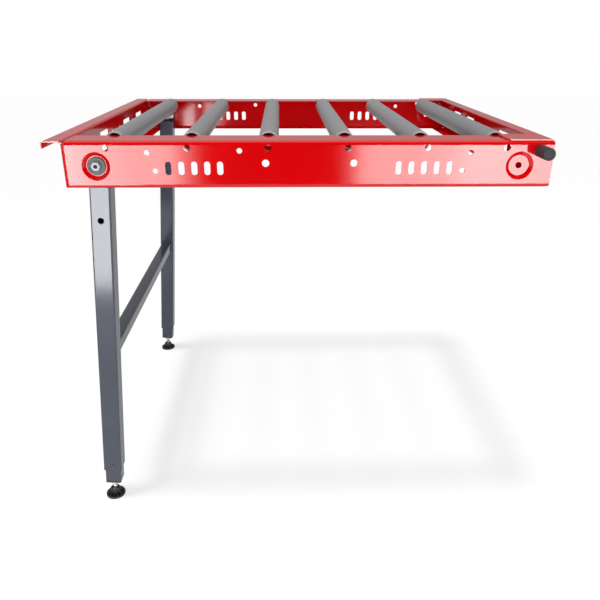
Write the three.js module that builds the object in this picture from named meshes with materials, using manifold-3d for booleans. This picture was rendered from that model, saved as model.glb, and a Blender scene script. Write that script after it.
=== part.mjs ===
// Roller outfeed table with folding, telescopic legs at its outer end.
// Millimetres, +Z up. The origin is the middle of the outer face of the end that meets the saw:
// +X points at the saw, -Y is the front and the table reaches along -X.
import * as THREE from "three";
import { mergeVertices } from "three/addons/utils/BufferGeometryUtils.js";
import Module from "manifold-3d";

// Sheet-metal frame
const TABLE_LENGTH = 800;
const TABLE_WIDTH = 724;
const RAIL_HEIGHT = 76;
const SHEET = 2;
const BEND_RADIUS = 4.5;
const RAIL_FLANGE = 64;
const RAIL_LIP = 10;
const HOOK_REACH = 30;
const HOOK_LIP = 12;
const SAW_TOP_FLANGE = 28;
const SAW_BOTTOM_FLANGE = 35;
const GUSSET_LENGTH = 75;

// Windows in the two end panels, measured from the middle of the width
const WINDOW_HEIGHT = 38;
const WINDOW_CORNER = 4;
const OUTER_WINDOW_WIDTH = 64;
const OUTER_WINDOW_PITCH = 65;
const OUTER_ROUND_HOLE = 24;
const OUTER_WINDOW_PLACES = 4;
const SAW_WINDOW_WIDTH = 61;
const SAW_WINDOW_INSET = 118;
const SAW_WINDOW_PITCH = 112;

// Rollers, along the table from its outer end
const ROLLER_COUNT = 6;
const ROLLER_PITCH = 130;
const FIRST_ROLLER = 72;
const ROLLER_DIAMETER = 35;
const ROLLER_WALL = 3;
const ROLLER_PROUD = 6.5;
const ROLLER_END_GAP = 2;
const BUSH_LENGTH = 14;
const BUSH_RECESS = 15;
const AXLE_DIAMETER = 10;
const AXLE_HEAD_OVERHANG = 1.5;
const AXLE_HEAD_LENGTH = 3;
const EAR_WIDTH = 26;

// Holes in the rails, as distances from the outer end and from the top face
const ACCESS_HOLE = 11;
const SMALL_HOLE = 9;
const MIDDLE_HOLE = 12;
const UPPER_HOLE_INSET = 137;
const UPPER_HOLE_DROP = 18.5;
const MIDDLE_HOLE_SPREAD = 72;
const MIDDLE_HOLE_DROP = 35.5;
const HANGING_HOLE_INSET = 286;
const HANGING_HOLE_DROP = 15.5;
const SLOT_COUNT = 5;
const SLOT_WIDTH = 10;
const SLOT_HEIGHT = 22;
const SLOT_PITCH = 21;
const SLOT_ROW_INSET = 212;
const SLOT_DROP = 43.5;

// Leg pivot, with its pressed dish in the rail
const PIVOT_INSET = 54;
const PIVOT_DROP = 40;
const DISH_DIAMETER = 46;
const DISH_FLOOR = 35;
const DISH_DEPTH = 5;
const BOLT_DIAMETER = 10;
const BOLT_HEAD = 17;
const BOLT_HEAD_HEIGHT = 6;
const WASHER_DIAMETER = 30;
const WASHER_THICKNESS = 2.5;
const INNER_WASHER_DIAMETER = 28;
const SPACER_DIAMETER = 20;
const NUT_ACROSS_FLATS = 17;
const NUT_HEIGHT = 9;
const BOLT_PAST_NUT = 3;

// Folding legs, measured along the leg from the pivot
const LEG_INSET = 13.7;
const LEG_WIDTH = 35;
const LEG_WALL = 1.5;
const LEG_CORNER = 3;
const LEG_LEAN_DEG = 4.3;
const FOLD_DEG = 89.5;
const LEG_ABOVE_PIVOT = 20;
const LEG_NOTCH_BELOW_PIVOT = 12;
const LEG_NOTCH_DEPTH = 14;
const LEG_BELOW_PIVOT = 616;
const LOCK_HOLE_DISTANCE = 95;
const LOCK_HOLE_DIAMETER = 11;
const CROSSBAR_WIDTH = 25;
const CROSSBAR_DISTANCE = 357;
const CLAMP_SCREW_DIAMETER = 6;
const CLAMP_SCREW_HEAD = 9;
const CLAMP_SCREW_HEAD_HEIGHT = 2;
const CLAMP_SCREW_ABOVE_END = 9;

// Telescopic inner legs and levelling feet
const LEG_SLIDE_CLEARANCE = 0.8;
const INNER_LEG_LENGTH = 250;
const INNER_LEG_SHOWN = 29;
const CAP_FLANGE = 3;
const CAP_PLUG = 20;
const FOOT_HEIGHT = 726;
const FOOT_DIAMETER = 38;
const FOOT_RIM = 5;
const FOOT_HUB_DIAMETER = 20;
const FOOT_HUB_HEIGHT = 17;
const BALL_DIAMETER = 12;
const BALL_HEIGHT = 10;
const SOCKET_LIP_DEG = 35;
const STUD_DIAMETER = 10;
const STUD_NECK = 7;
const STUD_INSIDE = 45;
const LOCK_NUT_HEIGHT = 8;

// Hanging pegs on the rails at the saw end
const PEG_INSET = 22;
const PEG_DROP = 16;
const PEG_DIAMETER = 20.5;
const PEG_LENGTH = 36;
const PEG_STUD_DIAMETER = 10;
const PEG_END_WALL = 4;
const PEG_FLANGE_DIAMETER = 18;
const PEG_FLANGE_THICKNESS = 3;

// Fits
const CLEARANCE = 0.3;
const OVERCUT = 1;
const BEND_STEPS = 3;
const CORNER_STEPS = 2;
const SIDES_LARGE = 24;
const SIDES_MEDIUM = 18;
const SIDES_SMALL = 12;

// Places worked out from the sizes above
const HALF_WIDTH = TABLE_WIDTH / 2;
const TOP = RAIL_HEIGHT / 2;
const BOTTOM = -RAIL_HEIGHT / 2;
const OUTER_END = -TABLE_LENGTH;
const INNER_BEND = BEND_RADIUS - SHEET;
const SAW_PANEL_TOP = TOP + CLEARANCE + SHEET;
const AXLE_Z = TOP + ROLLER_PROUD - ROLLER_DIAMETER / 2;
const AXLE_HEAD = AXLE_DIAMETER + 2 * AXLE_HEAD_OVERHANG;
const PIVOT_X = OUTER_END + PIVOT_INSET;
const PIVOT_Z = TOP - PIVOT_DROP;
const LEAN = THREE.MathUtils.degToRad(LEG_LEAN_DEG);
const FOLD = THREE.MathUtils.degToRad(FOLD_DEG);
const FLOOR_Z = TOP - FOOT_HEIGHT;
const BALL_Z = FLOOR_Z + BALL_HEIGHT;
const BALL_DISTANCE = (PIVOT_Z - BALL_Z) / Math.cos(LEAN);
const BALL_X = PIVOT_X - BALL_DISTANCE * Math.sin(LEAN);
const INNER_LEG_WIDTH = LEG_WIDTH - 2 * (LEG_WALL + LEG_SLIDE_CLEARANCE);
const INNER_LEG_END = LEG_BELOW_PIVOT + INNER_LEG_SHOWN;
const LEG_MIDDLE_Y = LEG_INSET + LEG_WIDTH / 2;
const LIP_CLEAR_Z = BOTTOM + BEND_RADIUS + CLEARANCE;
const WALL_SPAN = TABLE_WIDTH - 2 * (SHEET + CLEARANCE);
// The outer panel's lower flange ends where the open leg comes to rest against it.
const LEG_STOP = PIVOT_INSET - LEG_WIDTH / 2 / Math.cos(LEAN) - (PIVOT_Z - BOTTOM) * Math.tan(LEAN);
const OUTER_BOTTOM_FLANGE = LEG_STOP - CLEARANCE;

const wasm = await Module();
wasm.setup();

// A closed three.js geometry as a solid that can be joined and cut.
function solidOf(geometry) {
  const bare = geometry.clone();
  bare.deleteAttribute("normal");
  bare.deleteAttribute("uv");
  const merged = mergeVertices(bare, 1e-4);
  const corners = merged.index.array;
  const kept = [];
  for (let i = 0; i < corners.length; i += 3) {
    const [a, b, c] = corners.slice(i, i + 3);
    if (a !== b && b !== c && c !== a) kept.push(a, b, c);
  }
  return new wasm.Manifold(
    new wasm.Mesh({
      numProp: 3,
      vertProperties: new Float32Array(merged.attributes.position.array),
      triVerts: new Uint32Array(kept),
    }),
  );
}

// A solid as a three.js geometry again.
function geometryOf(solid) {
  const mesh = solid.getMesh();
  const geometry = new THREE.BufferGeometry();
  geometry.setAttribute("position", new THREE.BufferAttribute(mesh.vertProperties, 3));
  geometry.setIndex(new THREE.BufferAttribute(mesh.triVerts, 1));
  geometry.computeVertexNormals();
  return geometry;
}

function cut(geometry, tools) {
  let solid = solidOf(geometry);
  for (const tool of tools) solid = solid.subtract(solidOf(tool));
  return geometryOf(solid);
}

function join(geometry, others) {
  let solid = solidOf(geometry);
  for (const other of others) solid = solid.add(solidOf(other));
  return geometryOf(solid);
}

// A box between two corners.
function block(low, high) {
  const size = high.map((value, i) => value - low[i]);
  const middle = high.map((value, i) => (value + low[i]) / 2);
  return new THREE.BoxGeometry(...size).translate(...middle);
}

// A round bar along Y at (x, z).
function barAlongY(diameter, from, to, x = 0, z = 0, sides = SIDES_SMALL) {
  const bar = new THREE.CylinderGeometry(diameter / 2, diameter / 2, to - from, sides);
  return bar.translate(x, (from + to) / 2, z);
}

// A round bar along X at (y, z).
function barAlongX(diameter, from, to, y, z, sides = SIDES_MEDIUM) {
  const bar = new THREE.CylinderGeometry(diameter / 2, diameter / 2, to - from, sides);
  return bar.rotateZ(Math.PI / 2).translate((from + to) / 2, y, z);
}

// A closed outline whose corners are rounded to the radius given with each point.
function outline(points, steps = BEND_STEPS) {
  const path = [];
  points.forEach(([x, y, radius = 0], i) => {
    const corner = new THREE.Vector2(x, y);
    if (!radius) {
      path.push(corner);
      return;
    }
    const before = points[(i + points.length - 1) % points.length];
    const after = points[(i + 1) % points.length];
    const back = new THREE.Vector2(before[0] - x, before[1] - y).normalize();
    const ahead = new THREE.Vector2(after[0] - x, after[1] - y).normalize();
    const half = back.angleTo(ahead) / 2;
    const toCentre = back.clone().add(ahead).setLength(radius / Math.sin(half));
    const centre = corner.clone().add(toCentre);
    const first = corner.clone().addScaledVector(back, radius / Math.tan(half)).sub(centre);
    const last = corner.clone().addScaledVector(ahead, radius / Math.tan(half)).sub(centre);
    const sweep = Math.atan2(first.cross(last), first.dot(last));
    for (let step = 0; step <= steps; step += 1) {
      const turned = first.clone().rotateAround(new THREE.Vector2(), (sweep * step) / steps);
      path.push(turned.add(centre));
    }
  });
  return new THREE.Shape(path);
}

function roundedRectangle(width, height, radius, middleX = 0, middleY = 0, steps = CORNER_STEPS) {
  const [w, h] = [width / 2, height / 2];
  const corners = [[-w, -h], [w, -h], [w, h], [-w, h]];
  return outline(corners.map(([x, y]) => [x + middleX, y + middleY, radius]), steps);
}

function extrude(shape, length) {
  return new THREE.ExtrudeGeometry(shape, { depth: length, bevelEnabled: false });
}

// An outline in (y, z) carried along X.
function extrudeAlongX(shape, from, to) {
  const basis = new THREE.Matrix4().makeBasis(
    new THREE.Vector3(0, 1, 0),
    new THREE.Vector3(0, 0, 1),
    new THREE.Vector3(1, 0, 0),
  );
  return extrude(shape, to - from).applyMatrix4(basis).translate(from, 0, 0);
}

// An outline in (x, z) carried along Y.
function extrudeAlongY(shape, from, to) {
  return extrude(shape, to - from).rotateX(Math.PI / 2).translate(0, to, 0);
}

// An outline in (x, y) carried along Z.
function extrudeAlongZ(shape, from, to) {
  return extrude(shape, to - from).translate(0, 0, from);
}

// A turned piece about Y from a profile of (radius, y) points listed upwards.
function turned(profile, sides) {
  const points = profile.map(([radius, y]) => new THREE.Vector2(radius, y));
  return geometryOf(solidOf(new THREE.LatheGeometry(points, sides)));
}

// A ring about Y.
function ring(outside, inside, from, to, sides = SIDES_SMALL) {
  const [r, bore] = [outside / 2, inside / 2];
  return turned([[bore, from], [r, from], [r, to], [bore, to], [bore, from]], sides);
}

// A hexagon nut about Y with a plain bore.
function hexNut(acrossFlats, bore, from, to) {
  const corner = acrossFlats / Math.sqrt(3);
  const body = new THREE.CylinderGeometry(corner, corner, to - from, 6).translate(0, (from + to) / 2, 0);
  return cut(body, [barAlongY(bore, from - OVERCUT, to + OVERCUT)]);
}

const paint = {
  red: { color: 0xc8101a, roughness: 0.28, metalness: 0 },
  slate: { color: 0x565b69, roughness: 0.35, metalness: 0.1 },
  grey: { color: 0x85878a, roughness: 0.5, metalness: 0 },
  black: { color: 0x161618, roughness: 0.5, metalness: 0 },
  rubber: { color: 0x3f4247, roughness: 0.7, metalness: 0 },
  zinc: { color: 0xb9bcc0, roughness: 0.3, metalness: 1 },
};

function piece(name, geometry, finish) {
  const mesh = new THREE.Mesh(geometry, new THREE.MeshStandardMaterial(finish));
  mesh.name = name;
  return mesh;
}

const rollerPlaces = Array.from(
  { length: ROLLER_COUNT },
  (_, i) => OUTER_END + FIRST_ROLLER + i * ROLLER_PITCH,
);

// A side rail: a bent channel whose web is at y = 0 to SHEET and whose flange points inwards, along +Y.
function railGeometry() {
  const section = outline([
    [RAIL_LIP, BOTTOM],
    [0, BOTTOM, BEND_RADIUS],
    [0, TOP, BEND_RADIUS],
    [RAIL_FLANGE, TOP],
    [RAIL_FLANGE, TOP - SHEET],
    [SHEET, TOP - SHEET, INNER_BEND],
    [SHEET, BOTTOM + SHEET, INNER_BEND],
    [RAIL_LIP, BOTTOM + SHEET],
  ]);
  const channel = extrudeAlongX(section, OUTER_END, 0);
  const dishPlaces = [PIVOT_X, -PIVOT_INSET];
  const endRoom = BEND_RADIUS + CLEARANCE;
  const endCuts = [
    [OUTER_END - OVERCUT, OUTER_END + endRoom],
    [-endRoom, OVERCUT],
  ].map(([from, to]) => {
    const low = [from, SHEET, BOTTOM - OVERCUT];
    return block(low, [to, RAIL_FLANGE + OVERCUT, TOP + OVERCUT]);
  });
  const dishHoles = dishPlaces.map((x) =>
    barAlongY(DISH_DIAMETER, -OVERCUT, SHEET + OVERCUT, x, PIVOT_Z, SIDES_LARGE),
  );
  const pressed = join(cut(channel, [...endCuts, ...dishHoles]), [
    ...dishPlaces.map((x) => dishGeometry().translate(x, 0, PIVOT_Z)),
    ...rollerPlaces.map((x) => earGeometry().translate(x, 0, 0)),
  ]);
  return cut(pressed, railHoles());
}

// The pressed round recess at a pivot: a flat floor, a sloping wall and a rim that runs into the web.
function dishGeometry() {
  const rim = DISH_DIAMETER / 2;
  const floor = DISH_FLOOR / 2;
  const profile = [
    [0, DISH_DEPTH],
    [floor, DISH_DEPTH],
    [rim, 0],
    [rim + SHEET, 0],
    [rim + SHEET, SHEET],
    [rim + SHEET / 2, SHEET],
    [floor + SHEET / 2, DISH_DEPTH + SHEET],
    [0, DISH_DEPTH + SHEET],
  ];
  return turned(profile, SIDES_LARGE);
}

// A tongue folded down from the flange's inner edge, which carries one end of an axle.
function earGeometry() {
  const half = EAR_WIDTH / 2;
  const tongue = outline([
    [-half, AXLE_Z - half, half - CLEARANCE],
    [half, AXLE_Z - half, half - CLEARANCE],
    [half, TOP],
    [-half, TOP],
  ]);
  return extrudeAlongY(tongue, RAIL_FLANGE - SHEET, RAIL_FLANGE);
}

// Everything drilled or punched through a rail.
function railHoles() {
  const holes = [];
  const webHole = (diameter, x, drop) => {
    holes.push(barAlongY(diameter, -OVERCUT, DISH_DEPTH + SHEET + OVERCUT, x, TOP - drop));
  };
  for (const x of rollerPlaces) {
    webHole(ACCESS_HOLE, x, TOP - AXLE_Z);
    const bore = AXLE_DIAMETER + 2 * CLEARANCE;
    holes.push(barAlongY(bore, RAIL_FLANGE - SHEET - OVERCUT, RAIL_FLANGE + OVERCUT, x, AXLE_Z));
  }
  const foldedLock = FOLD - LEAN;
  const lockInset = PIVOT_INSET + LOCK_HOLE_DISTANCE * Math.sin(foldedLock);
  const lockDrop = PIVOT_DROP + LOCK_HOLE_DISTANCE * Math.cos(foldedLock);
  for (const place of [(inset) => OUTER_END + inset, (inset) => -inset]) {
    webHole(SMALL_HOLE, place(UPPER_HOLE_INSET), UPPER_HOLE_DROP);
    webHole(SMALL_HOLE, place(lockInset), lockDrop);
    webHole(BOLT_DIAMETER + 2 * CLEARANCE, place(PIVOT_INSET), PIVOT_DROP);
    for (let i = 0; i < SLOT_COUNT; i += 1) {
      const x = place(SLOT_ROW_INSET) + (i - (SLOT_COUNT - 1) / 2) * SLOT_PITCH;
      const slot = roundedRectangle(SLOT_WIDTH, SLOT_HEIGHT, SLOT_WIDTH / 2 - CLEARANCE, x, TOP - SLOT_DROP);
      holes.push(extrudeAlongY(slot, -OVERCUT, SHEET + OVERCUT));
    }
  }
  const middle = OUTER_END / 2;
  webHole(MIDDLE_HOLE, middle - MIDDLE_HOLE_SPREAD, MIDDLE_HOLE_DROP);
  webHole(MIDDLE_HOLE, middle + MIDDLE_HOLE_SPREAD, MIDDLE_HOLE_DROP);
  webHole(SMALL_HOLE, OUTER_END + HANGING_HOLE_INSET, HANGING_HOLE_DROP);
  webHole(PEG_STUD_DIAMETER + 2 * CLEARANCE, -PEG_INSET, PEG_DROP);
  return holes;
}

// The panel at the outer end: a wall, a top flange folded outwards with a hook lip, a lower flange inwards.
function outerPanelGeometry() {
  const hook = OUTER_END - HOOK_REACH;
  const inside = OUTER_END + OUTER_BOTTOM_FLANGE;
  const section = outline([
    [hook, TOP - HOOK_LIP],
    [hook, TOP, BEND_RADIUS],
    [OUTER_END + SHEET, TOP, BEND_RADIUS],
    [OUTER_END + SHEET, BOTTOM + SHEET, INNER_BEND],
    [inside, BOTTOM + SHEET],
    [inside, BOTTOM],
    [OUTER_END, BOTTOM, BEND_RADIUS],
    [OUTER_END, TOP - SHEET, INNER_BEND],
    [hook + SHEET, TOP - SHEET, INNER_BEND],
    [hook + SHEET, TOP - HOOK_LIP],
  ]);
  const wallFace = OUTER_END - CLEARANCE;
  const tools = [
    ...endTrims(wallFace, inside + OVERCUT, BOTTOM - OVERCUT, TOP + OVERCUT, SHEET + CLEARANCE),
    ...endTrims(OUTER_END + SHEET, inside + OVERCUT, BOTTOM - OVERCUT, LIP_CLEAR_Z, RAIL_LIP + CLEARANCE),
  ];
  for (let i = 0; i < OUTER_WINDOW_PLACES; i += 1) {
    const y = (i + 0.5) * OUTER_WINDOW_PITCH;
    for (const side of [-y, y]) {
      const [from, to] = [OUTER_END - OVERCUT, OUTER_END + SHEET + OVERCUT];
      if (i % 2 === 0) tools.push(barAlongX(OUTER_ROUND_HOLE, from, to, side, 0));
      else tools.push(windowCut(OUTER_WINDOW_WIDTH, from, to, side));
    }
  }
  return cut(extrudeAlongY(section, -HALF_WIDTH, HALF_WIDTH), tools);
}

// Blocks that trim both ends of a panel back by a given amount from the full width.
function endTrims(fromX, toX, fromZ, toZ, amount) {
  const inner = HALF_WIDTH - amount;
  const outer = HALF_WIDTH + OVERCUT;
  return [
    block([fromX, inner, fromZ], [toX, outer, toZ]),
    block([fromX, -outer, fromZ], [toX, -inner, toZ]),
  ];
}

function windowCut(width, from, to, y) {
  return extrudeAlongX(roundedRectangle(width, WINDOW_HEIGHT, WINDOW_CORNER, y, 0), from, to);
}

// The panel at the saw end: its top flange lies on the rails' flanges, with a gusset at each corner.
function sawPanelGeometry() {
  const section = outline([
    [-SAW_TOP_FLANGE, SAW_PANEL_TOP],
    [0, SAW_PANEL_TOP, BEND_RADIUS],
    [0, BOTTOM, BEND_RADIUS],
    [-SAW_BOTTOM_FLANGE, BOTTOM],
    [-SAW_BOTTOM_FLANGE, BOTTOM + SHEET],
    [-SHEET, BOTTOM + SHEET, INNER_BEND],
    [-SHEET, SAW_PANEL_TOP - SHEET, INNER_BEND],
    [-SAW_TOP_FLANGE, SAW_PANEL_TOP - SHEET],
  ]);
  const panel = extrudeAlongY(section, -WALL_SPAN / 2, WALL_SPAN / 2);
  const gussets = [-1, 1].map((side) => {
    const near = side * (HALF_WIDTH - RAIL_FLANGE);
    const far = (side * WALL_SPAN) / 2;
    const low = [-GUSSET_LENGTH, Math.min(near, far), SAW_PANEL_TOP - SHEET];
    return block(low, [-SAW_TOP_FLANGE + OVERCUT, Math.max(near, far), SAW_PANEL_TOP]);
  });
  const tools = endTrims(
    -SAW_BOTTOM_FLANGE - OVERCUT,
    -SHEET,
    BOTTOM - OVERCUT,
    LIP_CLEAR_Z,
    RAIL_LIP + CLEARANCE,
  );
  for (const y of [SAW_WINDOW_INSET, SAW_WINDOW_INSET + SAW_WINDOW_PITCH]) {
    for (const side of [-y, y]) tools.push(windowCut(SAW_WINDOW_WIDTH, -SHEET - OVERCUT, OVERCUT, side));
  }
  return cut(join(panel, gussets), tools);
}

// One roller with its fixed axle, listed from the outer end.
function roller(number) {
  const group = new THREE.Group();
  group.position.set(rollerPlaces[number - 1], 0, AXLE_Z);
  const tubeEnd = HALF_WIDTH - RAIL_FLANGE - ROLLER_END_GAP;
  const bore = ROLLER_DIAMETER - 2 * ROLLER_WALL;
  const tube = ring(ROLLER_DIAMETER, bore, -tubeEnd, tubeEnd, SIDES_LARGE);
  group.add(piece(`roller_${number}_tube`, tube, paint.grey));
  for (const [side, sign] of [["front", -1], ["back", 1]]) {
    const outside = sign * (tubeEnd - BUSH_RECESS);
    const inside = outside - sign * BUSH_LENGTH;
    const bush = ring(
      bore - 2 * CLEARANCE,
      AXLE_DIAMETER + 2 * CLEARANCE,
      Math.min(outside, inside),
      Math.max(outside, inside),
    );
    group.add(piece(`roller_${number}_${side}_bush`, bush, paint.black));
  }
  const shoulder = HALF_WIDTH - RAIL_FLANGE + SHEET + CLEARANCE;
  const end = shoulder + AXLE_HEAD_LENGTH;
  const [rod, head] = [AXLE_DIAMETER / 2, AXLE_HEAD / 2];
  const axle = turned([
    [0, -end],
    [head, -end],
    [head, -shoulder],
    [rod, -shoulder],
    [rod, shoulder],
    [head, shoulder],
    [head, end],
    [0, end],
  ], SIDES_SMALL);
  group.add(piece(`roller_${number}_axle`, axle, paint.zinc));
  return group;
}

// The bolt and what it clamps at a leg pivot, stacked inwards from the dish.
function pivotStack(side) {
  const group = new THREE.Group();
  group.position.set(PIVOT_X, 0, PIVOT_Z);
  const bore = BOLT_DIAMETER + 2 * CLEARANCE;
  const washerInner = DISH_DEPTH - CLEARANCE;
  const washerOuter = washerInner - WASHER_THICKNESS;
  const headInner = washerOuter - CLEARANCE;
  const headOuter = headInner - BOLT_HEAD_HEIGHT;
  const spacerFrom = DISH_DEPTH + SHEET + CLEARANCE;
  const innerWasherFrom = LEG_INSET + LEG_WALL + CLEARANCE;
  const innerWasherTo = innerWasherFrom + WASHER_THICKNESS;
  const nutFrom = innerWasherTo + CLEARANCE;
  const nutTo = nutFrom + NUT_HEIGHT;
  const shank = BOLT_DIAMETER / 2;
  const head = BOLT_HEAD / 2;
  const bolt = turned([
    [0, headOuter],
    [head, headOuter],
    [head, headInner],
    [shank, headInner],
    [shank, nutTo + BOLT_PAST_NUT],
    [0, nutTo + BOLT_PAST_NUT],
  ], SIDES_MEDIUM);
  const washer = ring(WASHER_DIAMETER, bore, washerOuter, washerInner, SIDES_MEDIUM);
  const spacer = ring(SPACER_DIAMETER, bore, spacerFrom, LEG_INSET - CLEARANCE);
  const innerWasher = ring(INNER_WASHER_DIAMETER, bore, innerWasherFrom, innerWasherTo, SIDES_MEDIUM);
  group.add(piece(`${side}_pivot_bolt`, bolt, paint.zinc));
  group.add(piece(`${side}_pivot_washer`, washer, paint.zinc));
  group.add(piece(`${side}_pivot_spacer`, spacer, paint.black));
  group.add(piece(`${side}_pivot_inner_washer`, innerWasher, paint.zinc));
  group.add(piece(`${side}_pivot_nut`, hexNut(NUT_ACROSS_FLATS, bore, nutFrom, nutTo), paint.zinc));
  return group;
}

// A square tube along Z, centred on the leg's axis.
function squareTube(width, wall, from, to) {
  const shape = roundedRectangle(width, width, LEG_CORNER);
  const hollow = roundedRectangle(width - 2 * wall, width - 2 * wall, LEG_CORNER - wall);
  shape.holes.push(new THREE.Path(hollow.getPoints()));
  return extrudeAlongZ(shape, from, to);
}

// The fixed part of a leg, hung from its pivot at the origin and reaching along -Z.
// Its inner wall is notched at the top, so that a spanner reaches the pivot nut.
function legTubeGeometry() {
  const half = LEG_WIDTH / 2;
  const tube = squareTube(LEG_WIDTH, LEG_WALL, -LEG_BELOW_PIVOT, LEG_ABOVE_PIVOT);
  const throughOuterWall = (diameter, z) =>
    barAlongY(diameter, -half - OVERCUT, -half + LEG_WALL + OVERCUT, 0, z);
  return cut(tube, [
    throughOuterWall(BOLT_DIAMETER + 2 * CLEARANCE, 0),
    throughOuterWall(LOCK_HOLE_DIAMETER, -LOCK_HOLE_DISTANCE),
    throughOuterWall(CLAMP_SCREW_DIAMETER + 2 * CLEARANCE, CLAMP_SCREW_ABOVE_END - LEG_BELOW_PIVOT),
    block(
      [-half - OVERCUT, half - LEG_NOTCH_DEPTH, -LEG_NOTCH_BELOW_PIVOT],
      [half + OVERCUT, half + OVERCUT, LEG_ABOVE_PIVOT + OVERCUT],
    ),
  ]);
}

// The screw that clamps the inner leg: its head lies on the tube and its tip stops at the inner leg.
function clampScrewGeometry() {
  const face = -LEG_WIDTH / 2;
  const tip = -INNER_LEG_WIDTH / 2 - CLEARANCE;
  const under = face - CLEARANCE;
  const [shank, head] = [CLAMP_SCREW_DIAMETER / 2, CLAMP_SCREW_HEAD / 2];
  const screw = turned([
    [0, under - CLAMP_SCREW_HEAD_HEIGHT],
    [head, under - CLAMP_SCREW_HEAD_HEIGHT],
    [head, under],
    [shank, under],
    [shank, tip],
    [0, tip],
  ], SIDES_SMALL);
  return screw.translate(0, 0, CLAMP_SCREW_ABOVE_END - LEG_BELOW_PIVOT);
}

// The plug that closes the inner leg and guides the levelling stud.
function legCapGeometry() {
  const flangeTop = -INNER_LEG_END - CLEARANCE;
  const plugWidth = INNER_LEG_WIDTH - 2 * (LEG_WALL + CLEARANCE);
  const flange = roundedRectangle(INNER_LEG_WIDTH, INNER_LEG_WIDTH, LEG_CORNER);
  const plug = roundedRectangle(plugWidth, plugWidth, LEG_CORNER - LEG_WALL);
  const body = join(extrudeAlongZ(flange, flangeTop - CAP_FLANGE, flangeTop), [
    extrudeAlongZ(plug, flangeTop - OVERCUT, flangeTop + CAP_PLUG),
  ]);
  const bore = barAlongY(STUD_DIAMETER + 2 * CLEARANCE, -CAP_PLUG, 2 * CAP_PLUG);
  return cut(body, [bore.rotateX(Math.PI / 2).translate(0, 0, flangeTop)]);
}

// The levelling stud: a rod through the plug, a neck and the ball that the foot swivels on.
function footStudGeometry() {
  const ball = BALL_DIAMETER / 2;
  const neck = STUD_NECK / 2;
  const rod = STUD_DIAMETER / 2;
  const ballSteps = 6;
  const reach = Math.asin(neck / ball);
  const profile = [];
  for (let i = 0; i <= ballSteps; i += 1) {
    const angle = (Math.PI - reach) * (i / ballSteps);
    profile.push([ball * Math.sin(angle), -ball * Math.cos(angle)]);
  }
  profile[0][0] = 0;
  const rodStart = BALL_DIAMETER;
  const rodEnd = BALL_DISTANCE - INNER_LEG_END + STUD_INSIDE;
  profile.push([neck, rodStart - (rod - neck)], [rod, rodStart], [rod, rodEnd], [0, rodEnd]);
  return turned(profile, SIDES_SMALL).rotateX(Math.PI / 2).translate(0, 0, -BALL_DISTANCE);
}

function lockNutGeometry() {
  const top = -INNER_LEG_END - CAP_FLANGE - 2 * CLEARANCE;
  const nut = hexNut(NUT_ACROSS_FLATS, STUD_DIAMETER + 2 * CLEARANCE, top - LOCK_NUT_HEIGHT, top);
  return turnUpright(nut, (2 * top - LOCK_NUT_HEIGHT) / 2);
}

// Stands a piece that was made about Y on the leg's axis, keeping its middle at z.
function turnUpright(geometry, z) {
  return geometry.translate(0, -z, 0).rotateX(Math.PI / 2).translate(0, 0, z);
}

// The round foot: a flat disc with a domed hub around the ball, about its ball centre at the origin.
function footBaseGeometry() {
  const rim = FOOT_DIAMETER / 2;
  const hub = FOOT_HUB_DIAMETER / 2;
  const under = -BALL_HEIGHT;
  const hubTop = FOOT_HUB_HEIGHT - BALL_HEIGHT;
  const socket = BALL_DIAMETER / 2 + CLEARANCE;
  const mouth = hub - SHEET;
  const socketSteps = 8;
  const body = [
    [0, under],
    [rim, under],
    [rim, under + FOOT_RIM],
    [hub + SHEET, under + FOOT_RIM + SHEET],
    [hub, hubTop],
    [mouth, hubTop],
  ];
  const socketTop = THREE.MathUtils.degToRad(SOCKET_LIP_DEG);
  for (let i = 0; i <= socketSteps; i += 1) {
    const angle = socketTop - (socketTop + Math.PI / 2) * (i / socketSteps);
    body.push([socket * Math.cos(angle), socket * Math.sin(angle)]);
  }
  body[body.length - 1][0] = 0;
  return turned(body, SIDES_MEDIUM).rotateX(Math.PI / 2);
}

// A rubber-sleeved peg that the table hangs by: the stud is held by its flange inside the rail.
function peg(side) {
  const group = new THREE.Group();
  group.position.set(-PEG_INSET, 0, TOP - PEG_DROP);
  const flangeFrom = SHEET + CLEARANCE;
  const flangeTo = flangeFrom + PEG_FLANGE_THICKNESS;
  const sleeveEnd = -CLEARANCE - PEG_LENGTH;
  const boreEnd = sleeveEnd + PEG_END_WALL;
  const [stud, flange, sleeve] = [PEG_STUD_DIAMETER / 2, PEG_FLANGE_DIAMETER / 2, PEG_DIAMETER / 2];
  const bore = stud + CLEARANCE;
  const studPiece = turned([
    [0, boreEnd + CLEARANCE],
    [stud, boreEnd + CLEARANCE],
    [stud, flangeFrom],
    [flange, flangeFrom],
    [flange, flangeTo],
    [0, flangeTo],
  ], SIDES_SMALL);
  const sleevePiece = turned([
    [0, sleeveEnd],
    [sleeve, sleeveEnd],
    [sleeve, -CLEARANCE],
    [bore, -CLEARANCE],
    [bore, boreEnd],
    [0, boreEnd],
  ], SIDES_MEDIUM);
  group.add(piece(`${side}_peg_stud`, studPiece, paint.zinc));
  group.add(piece(`${side}_peg_sleeve`, sleevePiece, paint.rubber));
  return group;
}

// A group hung at the leg pivot, leaning as the open legs do.
function leaningGroup(y) {
  const group = new THREE.Group();
  group.position.set(PIVOT_X, y, PIVOT_Z);
  group.rotation.y = LEAN;
  return group;
}

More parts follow.
